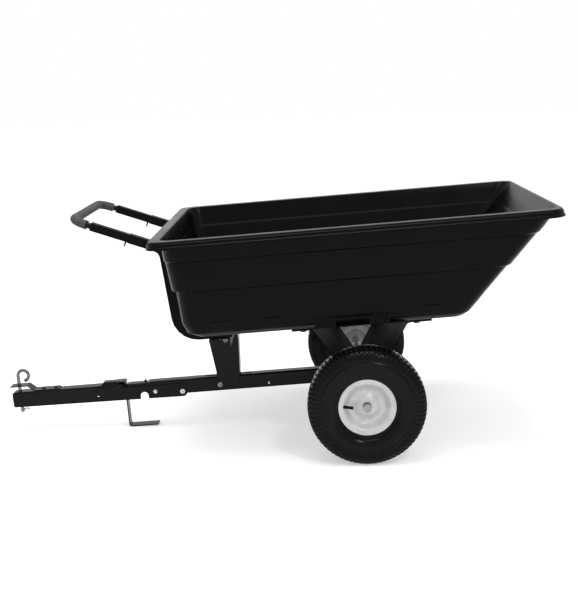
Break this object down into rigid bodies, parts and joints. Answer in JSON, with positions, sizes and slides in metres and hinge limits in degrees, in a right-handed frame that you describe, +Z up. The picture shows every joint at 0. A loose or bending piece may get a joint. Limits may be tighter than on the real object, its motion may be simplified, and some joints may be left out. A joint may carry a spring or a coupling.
{
  "type": "garden tractor trailer",
  "caption": "Tipping garden trailer: moulded plastic tub on a steel chassis with a folding tongue, hitch pin, pedal foot and sliding push handle.",
  "frame": {"origin": "centre of the bounding box's bottom, on the ground that the tyres and the pedal's foot stand on", "axes": "+X to the rear, away from the hitch; +Z up; +Y to the left of someone at the rear who looks towards the hitch"},
  "size_m": [1.7478, 0.882, 0.7498],
  "materials": {
    "tub_plastic": "satin moulded",
    "coated_steel": "black powder coat",
    "zinc_steel": "bright zinc plated",
    "spring_steel": "drawn wire",
    "tyre": "moulded rubber",
    "wheel_paint": "silver paint",
    "grip": "matt foam",
    "valve_rubber": "smooth"
  },
  "bodies": {
    "frame": {"tub": "tub_plastic", "frame_tube_left": "coated_steel", "frame_tube_right": "coated_steel", "handle_receiver_left": "coated_steel", "handle_receiver_right": "coated_steel", "rear_drawbar": "coated_steel", "support_post": "coated_steel", "front_crossmember": "coated_steel", "post_bolt_lower": "zinc_steel", "post_bolt_upper": "zinc_steel", "tube_bolt_left": "zinc_steel", "tube_bolt_right": "zinc_steel", "axle": "zinc_steel", "axle_cap_left": "zinc_steel", "axle_cap_right": "zinc_steel", "axle_cradle": "coated_steel", "tub_rail_left": "coated_steel", "tub_rail_right": "coated_steel", "cradle_bolt_1": "zinc_steel", "cradle_bolt_2": "zinc_steel", "cradle_bolt_3": "zinc_steel", "cradle_bolt_4": "zinc_steel", "tongue_pivot_bolt": "zinc_steel", "pedal_pin": "zinc_steel", "pedal_spring": "spring_steel"},
    "tongue": {"tongue": "coated_steel", "hitch_strap": "coated_steel", "hitch_rivet_1": "coated_steel", "hitch_rivet_2": "coated_steel", "tongue_stop_bolt": "zinc_steel"},
    "hitch_pin": {"hitch_pin": "zinc_steel"},
    "pin_clip": {"pin_clip": "spring_steel"},
    "pedal": {"pedal": "coated_steel"},
    "handle": {"handle_tube": "coated_steel", "handle_grip": "grip"},
    "wing_screw_left": {"wing_screw_left": "coated_steel"},
    "wing_screw_right": {"wing_screw_right": "coated_steel"},
    "wheel_left": {"tyre_left": "tyre", "wheel_rim_left": "wheel_paint", "wheel_hub_left": "zinc_steel", "valve_stem_left": "valve_rubber"},
    "wheel_right": {"tyre_right": "tyre", "wheel_rim_right": "wheel_paint", "wheel_hub_right": "zinc_steel", "valve_stem_right": "valve_rubber"}
  },
  "joints": [
    {"name": "tongue_fold", "type": "hinge", "parent": "frame", "child": "tongue", "pos_m": [-0.29495, 0, 0.12161], "axis": [0, -1, 0], "range_deg": [0, 176]},
    {"name": "pedal_press", "type": "hinge", "parent": "frame", "child": "pedal", "pos_m": [-0.47421, 0, 0.13006], "axis": [0, 1, 0], "range_deg": [0, 10], "stiffness_Nm_per_rad": 2, "springref_deg": -22.92},
    {"name": "hitch_pin_lift", "type": "slide", "parent": "tongue", "child": "hitch_pin", "axis": [-0.0561, 0, 0.9984], "range_m": [0, 0.05]},
    {"name": "clip_draw", "type": "slide", "parent": "hitch_pin", "child": "pin_clip", "axis": [0.9984, 0, 0.0561], "range_m": [0, 0.03]},
    {"name": "handle_slide", "type": "slide", "parent": "frame", "child": "handle", "axis": [-0.945, 0, 0.3269], "range_m": [0, 0.12]},
    {"name": "wing_screw_left_turn", "type": "hinge", "parent": "frame", "child": "wing_screw_left", "pos_m": [-0.41358, -0.221, 0.67246], "axis": [0.3269, 0, 0.945], "continuous": true},
    {"name": "wing_screw_right_turn", "type": "hinge", "parent": "frame", "child": "wing_screw_right", "pos_m": [-0.41358, 0.221, 0.67246], "axis": [0.3269, 0, 0.945], "continuous": true},
    {"name": "wheel_left_spin", "type": "hinge", "parent": "frame", "child": "wheel_left", "pos_m": [0.30087, -0.386, 0.17713], "axis": [0, 1, 0], "continuous": true},
    {"name": "wheel_right_spin", "type": "hinge", "parent": "frame", "child": "wheel_right", "pos_m": [0.30087, 0.386, 0.17713], "axis": [0, 1, 0], "continuous": true}
  ]
}
